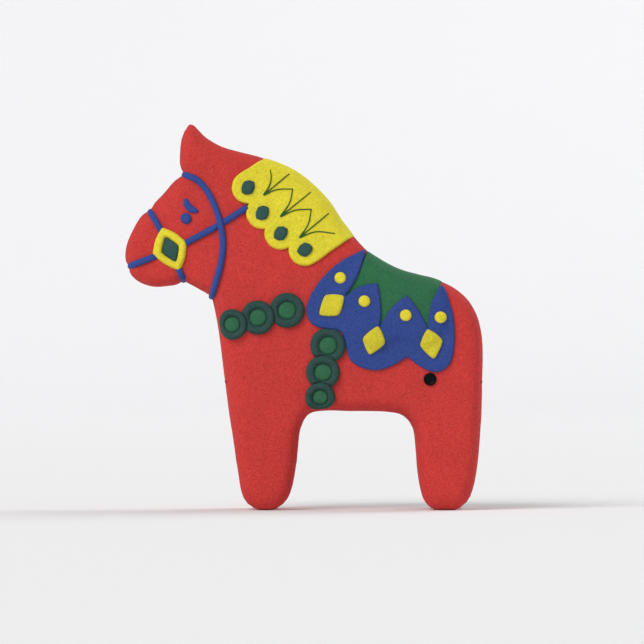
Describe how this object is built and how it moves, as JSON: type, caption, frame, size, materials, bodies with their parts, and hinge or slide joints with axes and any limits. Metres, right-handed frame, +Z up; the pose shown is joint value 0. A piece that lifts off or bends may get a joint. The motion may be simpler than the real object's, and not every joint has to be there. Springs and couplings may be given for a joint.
{
  "type": "dala horse",
  "caption": "Stuffed felt dala horse that stands on its four legs, with a draped mane and saddle, a cord bridle and felt trims on both sides.",
  "frame": {"origin": "on the ground, midway between nose and rump, on the horse's middle plane", "axes": "+Z up; the horse faces -X; its left side faces -Y"},
  "size_m": [0.146, 0.0522, 0.1563],
  "materials": {
    "red_felt": "wool felt",
    "yellow_felt": "wool felt",
    "blue_felt": "wool felt",
    "green_felt": "wool felt",
    "teal_felt": "padded wool felt",
    "blue_cord": "felted wool cord",
    "green_thread": "cotton embroidery thread",
    "black_button": "satin",
    "stuffing": "loose fibre fill"
  },
  "bodies": {
    "root": {"left_breast_ring_1": "teal_felt", "left_breast_ring_2": "teal_felt", "left_breast_ring_3": "teal_felt", "left_brow": "blue_cord", "left_eye": "blue_cord", "left_girth_ring_1": "teal_felt", "left_girth_ring_2": "teal_felt", "left_girth_ring_3": "teal_felt", "left_hip_button": "black_button", "left_mane_lozenge_1": "teal_felt", "left_mane_lozenge_2": "teal_felt", "left_mane_lozenge_3": "teal_felt", "left_mane_lozenge_4": "teal_felt", "left_mane_stitching": "green_thread", "left_rein": "blue_cord", "left_rosette_centre": "green_felt", "left_rosette_frame": "yellow_felt", "left_saddle_diamond_1": "yellow_felt", "left_saddle_diamond_2": "yellow_felt", "left_saddle_diamond_3": "yellow_felt", "left_saddle_dot_1": "yellow_felt", "left_saddle_dot_2": "yellow_felt", "left_saddle_dot_3": "yellow_felt", "left_saddle_dot_4": "yellow_felt", "left_saddle_skirt": "blue_felt", "left_side_panel": "red_felt", "mane": "yellow_felt", "mouth_strap": "blue_cord", "noseband": "blue_cord", "right_breast_ring_1": "teal_felt", "right_breast_ring_2": "teal_felt", "right_breast_ring_3": "teal_felt", "right_brow": "blue_cord", "right_eye": "blue_cord", "right_girth_ring_1": "teal_felt", "right_girth_ring_2": "teal_felt", "right_girth_ring_3": "teal_felt", "right_hip_button": "black_button", "right_mane_lozenge_1": "teal_felt", "right_mane_lozenge_2": "teal_felt", "right_mane_lozenge_3": "teal_felt", "right_mane_lozenge_4": "teal_felt", "right_mane_stitching": "green_thread", "right_rein": "blue_cord", "right_rosette_centre": "green_felt", "right_rosette_frame": "yellow_felt", "right_saddle_diamond_1": "yellow_felt", "right_saddle_diamond_2": "yellow_felt", "right_saddle_diamond_3": "yellow_felt", "right_saddle_dot_1": "yellow_felt", "right_saddle_dot_2": "yellow_felt", "right_saddle_dot_3": "yellow_felt", "right_saddle_dot_4": "yellow_felt", "right_saddle_skirt": "blue_felt", "right_side_panel": "red_felt", "saddle_pad": "green_felt", "stuffing": "stuffing", "throat_lash": "blue_cord", "top_gusset": "red_felt", "underbody_gusset": "red_felt"}
  },
  "joints": []
}
